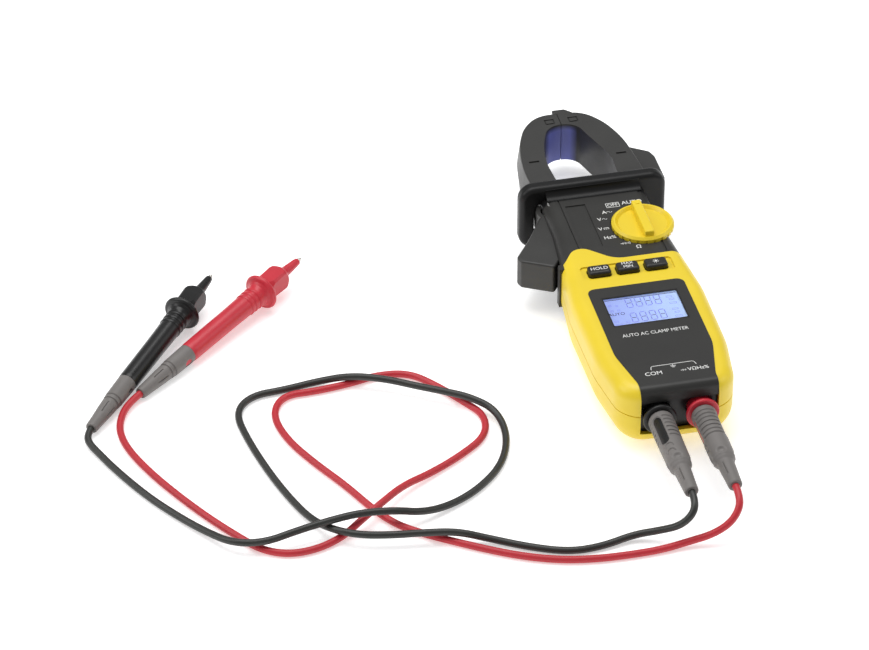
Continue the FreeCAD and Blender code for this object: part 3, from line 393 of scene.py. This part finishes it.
# ---- leads --------------------------------------------------------------------------
CORD_D = 0.0032
BLACK_ROUTE = [
    (-0.009525, -0.159, 0.0184), (-0.0095, -0.1645, 0.0181), (-0.0115, -0.169, 0.015),
    (-0.017, -0.1695, 0.01), (-0.0245, -0.165, 0.0052), (-0.035, -0.162, 0.0024),
    (-0.049, -0.1655, 0.0016), (-0.0635, -0.166, 0.0016), (-0.079, -0.1595, 0.0016),
    (-0.0945, -0.151, 0.0022), (-0.1075, -0.1475, 0.0056), (-0.1205, -0.1455, 0.0058),
    (-0.1345, -0.144, 0.0058), (-0.148, -0.141, 0.0058), (-0.158, -0.1345, 0.0054),
    (-0.165, -0.1225, 0.0024), (-0.171, -0.1055, 0.0016), (-0.1765, -0.0855, 0.0016),
    (-0.181, -0.0625, 0.0016), (-0.183, -0.0425, 0.0016), (-0.174, -0.032, 0.0016),
    (-0.159, -0.031, 0.0016), (-0.1435, -0.0285, 0.0018), (-0.1295, -0.0325, 0.0056),
    (-0.115, -0.0385, 0.0058), (-0.1025, -0.046, 0.0054), (-0.0915, -0.053, 0.0058),
    (-0.0815, -0.0595, 0.0058), (-0.072, -0.0675, 0.0034), (-0.0705, -0.084, 0.0016),
    (-0.0775, -0.103, 0.0016), (-0.091, -0.117, 0.0016), (-0.1055, -0.1255, 0.0018),
    (-0.1185, -0.1305, 0.0044), (-0.1305, -0.1325, 0.0092), (-0.1455, -0.1315, 0.0098),
    (-0.159, -0.132, 0.0084), (-0.1735, -0.1335, 0.0066), (-0.1875, -0.137, 0.0058),
    (-0.2005, -0.1335, 0.005), (-0.21, -0.12, 0.0022), (-0.22, -0.106, 0.0016),
    (-0.23, -0.0905, 0.0016), (-0.24, -0.0705, 0.0016), (-0.2455, -0.0575, 0.0019),
    (-0.2485, -0.0505, 0.0023), (-0.2485, -0.0455, 0.0028), (-0.2462, -0.0415, 0.0031),
]
RED_ROUTE = [
    (0.009525, -0.159, 0.0184), (0.0095, -0.1645, 0.0181), (0.0085, -0.1695, 0.0152),
    (0.004, -0.1725, 0.0102), (-0.0035, -0.1725, 0.0054), (-0.013, -0.1715, 0.0026),
    (-0.025, -0.173, 0.0016), (-0.038, -0.1735, 0.0016), (-0.0535, -0.173, 0.0016),
    (-0.068, -0.1705, 0.0016), (-0.0825, -0.165, 0.0016), (-0.096, -0.1575, 0.0016),
    (-0.109, -0.149, 0.0016), (-0.1215, -0.1405, 0.0016), (-0.131, -0.132, 0.0016),
    (-0.1385, -0.1195, 0.0016), (-0.146, -0.1025, 0.0016), (-0.156, -0.0845, 0.0016),
    (-0.1645, -0.066, 0.0016), (-0.1675, -0.0475, 0.0016), (-0.1605, -0.035, 0.0016),
    (-0.1455, -0.035, 0.0016), (-0.13, -0.033, 0.0016), (-0.1165, -0.0295, 0.0016),
    (-0.1025, -0.0315, 0.0016), (-0.0925, -0.0435, 0.0016), (-0.084, -0.0565, 0.0016),
    (-0.077, -0.068, 0.0016), (-0.08, -0.0825, 0.0016), (-0.094, -0.0935, 0.0016),
    (-0.109, -0.1025, 0.0018), (-0.1225, -0.1105, 0.004), (-0.1335, -0.121, 0.0056),
    (-0.145, -0.1305, 0.005), (-0.154, -0.1355, 0.0016), (-0.1655, -0.141, 0.0016),
    (-0.178, -0.142, 0.0016), (-0.189, -0.1365, 0.0016), (-0.1975, -0.125, 0.0016),
    (-0.2065, -0.1115, 0.0016), (-0.2155, -0.096, 0.0016), (-0.225, -0.0775, 0.0016),
    (-0.2325, -0.0585, 0.0016), (-0.2345, -0.0445, 0.0018), (-0.2315, -0.0335, 0.0022),
    (-0.2265, -0.026, 0.0027), (-0.2213, -0.0216, 0.0031),
]


def cord(name, route, look):
    curve = bpy.data.curves.new(name, "CURVE")
    curve.dimensions = "3D"
    curve.bevel_depth = CORD_D / 2
    curve.bevel_resolution = 8
    curve.resolution_u = 14
    curve.use_fill_caps = True
    line = curve.splines.new("NURBS")
    line.points.add(len(route) - 1)
    for point, place in zip(line.points, route):
        point.co = (*place, 1)
    line.order_u = 3
    line.use_endpoint_u = True
    curve.materials.append(look)
    flex = bpy.data.objects.new(name, curve)
    bpy.context.scene.collection.objects.link(flex)
    return flex


# ---- printed marks ------------------------------------------------------------------
def wave(x, y, w, h):
    """Alternating-current sign, as a short sine line."""
    return [(x + w * (k / 8 - 0.5), y + h * math.sin(2 * math.pi * k / 8)) for k in range(9)]


# Display segments: faint ones all round, with the centre bars of both rows switched on.
glass_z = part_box("lcd_glass")[1][2] + PRINT_GAP
ghost, lit = Print(glass_z), Print(glass_z)
LCD_LEFT, LCD_TOP = -16.6, -37.0
LCD_WIDE, LCD_HIGH = 33.2, 20.3


def lcd(u, v):
    """Place in mm of a fraction of the display, across and down."""
    return LCD_LEFT + LCD_WIDE * u, LCD_TOP - LCD_HIGH * v


def seven_segments(x, y, w, h, line):
    """Faint outline segments of one digit and its lit centre bar."""
    for side in (-1, 1):
        for half in (-1, 1):
            ghost.bar(x + side * w / 2, y + half * h / 4, line, h / 2 - line * 1.6)
        ghost.bar(x, y + side * h / 2, w - line * 1.4, line)
    lit.bar(x, y, w - line * 1.2, line * 0.9)


for v, shift in ((0.205, 0.0), (0.735, -0.012)):
    for column in range(4):
        x, y = lcd(0.325 + 0.13 * column + shift, v)
        seven_segments(x, y, 2.6, 6.6, 0.42)
lit.text("AUTO", *lcd(0.105, 0.55), 2.7, 1.0, 0.02)
# Dark line across the top of the display: painted shadow of the window's recess.
lit.stroke([lcd(0.015, 0.035), lcd(0.985, 0.035)], 0.30)
# Unlit signs beside the digits: place on the display and width in mm.
UNLIT_SIGNS = ((0.06, 0.22, 1.3), (0.15, 0.25, 0.9), (0.15, 0.42, 1.1), (0.06, 0.42, 1.2), (0.88, 0.16, 2.6),
               (0.90, 0.26, 2.2), (0.90, 0.40, 3.0), (0.89, 0.62, 2.6), (0.90, 0.74, 2.0), (0.90, 0.88, 3.0),
               (0.21, 0.86, 1.4), (0.06, 0.80, 1.6), (0.08, 0.93, 2.4))
for u, v, w in UNLIT_SIGNS:
    ghost.frame(*lcd(u, v), w, 1.0, 0.14)
GHOST = material("lcd_ghost", (0.20, 0.23, 0.62), 0.4, None, 0.05, 300,
                 Emission_Color=(0.22, 0.26, 0.70, 1), Emission_Strength=0.38)
ghost.done("lcd_ghost_segments", GHOST, "case", "lcd_layer")
LIT = material("lcd_dark", (0.05, 0.035, 0.16), 0.4, None, 0.1, 300)
lit.done("lcd_lit_segments_and_recess_shadow", LIT, "case", "lcd_layer")

# Dark rim of the display window.
rim = Print(PANEL_FACE_Z + PRINT_GAP)
rim.frame(0, -47.15, 34.0, 21.1, 0.55)
rim.done("lcd_rim", BLACK_SATIN, "case", "black_plastic")

dial_print = Print(DIAL_FACE_Z + PRINT_GAP)
dial_print.text("AUTO", 15.2, 33.3, 3.5, 0.98, 0.02)
dial_print.text("A", 0.9, 27.9, 3.2, 1.0, 0.03)
dial_print.stroke(wave(3.3, 27.9, 2.3, 0.42), 0.32)
dial_print.text("V", -2.6, 22.9, 3.2, 0.95, 0.03)
dial_print.stroke(wave(-0.2, 22.9, 2.2, 0.42), 0.32)
dial_print.text("V", -4.0, 15.5, 3.2, 0.95, 0.03)
dial_print.bar(-1.3, 16.0, 2.6, 0.34)
for k in (-1, 0, 1):
    dial_print.bar(-1.3 + k * 0.95, 15.1, 0.6, 0.34)
dial_print.text("Hz%", -1.4, 8.5, 3.1, 1.0, 0.02)
dial_print.stroke([(2.0, 2.6), (5.4, 2.6)], 0.3)
dial_print.block([(2.9, 1.9), (2.9, 3.3), (4.1, 2.6)])
dial_print.bar(4.2, 2.6, 0.28, 1.5)
for r in (0.8, 1.4):
    dial_print.stroke([(5.0 + r * math.cos(a), 2.6 + r * math.sin(a)) for a in (-0.7, -0.25, 0.25, 0.7)], 0.26)
dial_print.text("\u03a9", 9.4, -1.2, 3.3, 1.0, 0.03)
dial_print.frame(6.1, 32.8, 6.0, 3.2, 0.3)
dial_print.text("OFF", 6.1, 32.8, 2.9, 1.0, 0.02)
dial_print.done("dial_print", PRINT, "case", "white_plastic")

panel_print = Print(PANEL_FACE_Z + PRINT_GAP)
panel_print.text("AUTO AC CLAMP METER", -0.3, -65.3, 3.1, 0.86, 0.0)
panel_print.text("COM", -8.9, -94.0, 3.4, 1.0, 0.02)
panel_print.text("V\u03a9Hz%", 10.9, -94.2, 3.1, 0.95, 0.02)
panel_print.bar(4.4, -94.2, 2.6, 0.26)
panel_print.block([(4.0, -94.8), (4.0, -93.6), (5.0, -94.2)])
panel_print.bar(5.1, -94.2, 0.24, 1.2)
panel_print.stroke([(-9.3, -91.4), (-9.0, -89.6), (-8.2, -89.0), (9.6, -88.9), (10.4, -89.5), (10.8, -91.2)], 0.3)
for k, w in enumerate((2.6, 1.8, 1.0)):
    panel_print.bar(0.7, -90.2 - 0.55 * k, w, 0.26)
panel_print.bar(0.7, -89.5, 0.26, 1.2)
panel_print.done("panel_print", PRINT, "case", "white_plastic")

# Key legends: word, height above the key's middle and size, in mm. The light key has a sun instead.
LEGENDS = {"hold": (("HOLD", 0.0, 2.9),), "max_min": (("MAX", 1.2, 2.5), ("MIN", -1.2, 2.5)), "light": ()}
HALF_TO_MM = 500
for key, words in LEGENDS.items():
    low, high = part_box("button_" + key)
    key_x, key_y = (low[0] + high[0]) * HALF_TO_MM, (low[1] + high[1]) * HALF_TO_MM
    legend = Print(high[2] + KEY_PRINT_GAP)
    for text, offset, size in words:
        legend.text(text, key_x, key_y + offset, size, 1.0, 0.02)
    if not words:
        legend.block([(key_x + 0.6 * math.cos(a * math.pi / 6), key_y + 0.6 * math.sin(a * math.pi / 6))
                      for a in range(12)])
        for k in range(8):
            c, n = math.cos(k * math.pi / 4), math.sin(k * math.pi / 4)
            legend.stroke([(key_x + 0.85 * c, key_y + 0.85 * n), (key_x + 1.4 * c, key_y + 1.4 * n)], 0.24)
    legend.done(key + "_print", PRINT, key + "_key", "white_plastic")


# ---- plugs and strain reliefs -------------------------------------------------------
# Profiles are (distance from the start, radius) in mm.
BOOT = [(0, 5.2), (0.8, 5.55), (10, 5.6), (26, 5.4), (29.5, 5.4), (32.4, 5.1), (33.6, 4.5), (35.2, 3.7),
        (47.8, 3.15), (49.5, 3.05), (50, 2.7)]


def boot_relief(slot_at, ribs):
    """Depths of a plug boot's slots, ribs, finger dimples and slits."""
    def depth(s, a):
        r, cut = 5.6, 0.0
        near_slot = min(abs(turn_from(a, slot_at + 180 * k)) for k in (0, 1))
        width = math.radians(near_slot) * r
        ends = max(0.0, abs(s - 11.9) - 6.4)
        if 2.4 < s < 21.6:
            cut = max(cut, 0.75 * dip(math.hypot(width, ends), 2.2, 0.35))
        if near_slot > 30 and 2.2 < s < 2.9 + 2.6 * ribs:
            groove = (s - 3.6 + 1.3) % 2.6 - 1.3
            fade = min(1.0, (near_slot - 30) / 6)
            cut = max(cut, 0.5 * fade * dip(groove, 0.32, 0.3))
        for k in range(4):
            off = math.radians(turn_from(a, 12 + 90 * k)) * r
            cut = max(cut, 0.95 * dip(math.hypot(off / 2.6, (s - 30.8) / 1.9), 0.35, 0.75))
            slit = math.radians(turn_from(a, 33 + 90 * k)) * 3.4
            if 36 < s < 46:
                cut = max(cut, 0.45 * dip(slit, 0.10, 0.18) * dip(s - 40.5, 3.6, 0.6))
        return cut
    return depth


def crescents(slot_at):
    """Two shallow crescents past the slot of a boot."""
    def depth(s, a):
        off = math.radians(turn_from(a, slot_at - 10)) * 5.6
        cut = 0.0
        for centre in (23.6, 27.4):
            ring_off = math.hypot(off, s - centre) - 1.9
            if s < centre + 0.3:
                cut = max(cut, 0.45 * dip(ring_off, 0.12, 0.25))
        return cut
    return depth


LEAD_LOOKS = {"black": (BLACK_SATIN, "black_plastic"), "red": (RED_PLASTIC, "red_plastic")}
# Angle of a boot's slots in degrees, and its number of ribs.
PLUG_LAYOUT = {"black": (40, 6), "red": (104, 7)}
PROBE_AXES = {"black": (0.60891, 0.79069, 0.06353), "red": (0.75774, 0.64946, 0.06353)}
RELIEF = [(0, 2.45), (0.5, 2.7), (2, 2.85), (16.6, 3.75), (17.2, 3.8), (19.8, 4.1), (20.6, 4.2), (32.6, 4.4),
          (33, 4.3)]
# Coloured inner bodies, seen through a boot's slots and a strain relief's windows.
BOOT_CORE = [(2.4, 4.6), (3.0, 4.98), (20.8, 4.95), (21.4, 4.6)]
RELIEF_CORE = [(25.4, 3.2), (26.0, 3.85), (31.4, 3.95), (32.0, 3.2)]
OUT, UP = (0, -1, 0), (0, 0, 1)


def relief_cut(s, a):
    """Depths of a probe's strain relief: slits, two ring grooves and side windows."""
    cut = 0.5 * max(dip(s - 17.7, 0.25, 0.25), dip(s - 20.0, 0.25, 0.25))
    for k in range(6):
        slit = math.radians(turn_from(a, 12 + 60 * k)) * 3.3
        width = 0.08 + 0.02 * max(0.0, s - 8)
        cut = max(cut, 0.45 * dip(slit, width, 0.16) * dip(s - 12.3, 2.9, 0.5))
    for centre in (100, -80):
        off = math.radians(turn_from(a, centre)) * 4.3
        if s > 24:
            cut = max(cut, 0.8 * dip(math.hypot(off / 1.1, (s - 28.6) / 1.25), 1.5, 0.3))
    return cut


for colour in ("black", "red"):
    look, slot_name = LEAD_LOOKS[colour]
    body = colour + "_lead"
    low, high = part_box(colour + "_plug_boot")
    start = ((low[0] + high[0]) / 2, high[1], (low[2] + high[2]) / 2)
    slot_at, ribs = PLUG_LAYOUT[colour]
    carve, moon = boot_relief(slot_at, ribs), crescents(slot_at)
    shape = turned(BOOT, start, OUT, UP, 0.22, 150, lambda s, a: max(carve(s, a), moon(s, a)))
    piece(colour + "_boot", *shape, GREY_RUBBER, body, "grey_rubber", [colour + "_plug_boot"])
    core = turned(BOOT_CORE, start, OUT, UP, 0.5, 72)
    piece(colour + "_boot_core", *core, look, body, slot_name)
    exit_point = (BLACK_ROUTE if colour == "black" else RED_ROUTE)[-1]
    shape = turned(RELIEF, exit_point, PROBE_AXES[colour], UP, 0.2, 120, relief_cut)
    piece(colour + "_strain_relief", *shape, GREY_RUBBER, body, "grey_rubber", [colour + "_probe_relief"])
    core = turned(RELIEF_CORE, exit_point, PROBE_AXES[colour], UP, 0.5, 72)
    piece(colour + "_relief_core", *core, look, body, slot_name)


for colour, route, length, skin in (("black", BLACK_ROUTE, 0.666, BLACK_SKIN),
                                    ("red", RED_ROUTE, 0.648, RED_SKIN)):
    flex = cord(colour + "_flex", route, skin)
    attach(flex, colour + "_lead")
    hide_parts(colour + "_cord")


# ---- floor --------------------------------------------------------------------------
# Just under the table plane, so the resting faces do not flicker against it.
FLOOR_DROP = -0.0002
floor_mesh = bpy.data.meshes.new("floor")
floor_mesh.from_pydata([(-6, -6, 0), (6, -6, 0), (6, 6, 0), (-6, 6, 0)], [], [(0, 1, 2, 3)])
floor_mesh.materials.append(material("pale_floor", (0.93, 0.93, 0.93), 0.8, None, 0.004, 3,
                                     Emission_Color=(1, 1, 1, 1), Emission_Strength=0.42))
floor = bpy.data.objects.new("floor", floor_mesh)
floor.location.z = FLOOR_DROP
bpy.context.scene.collection.objects.link(floor)
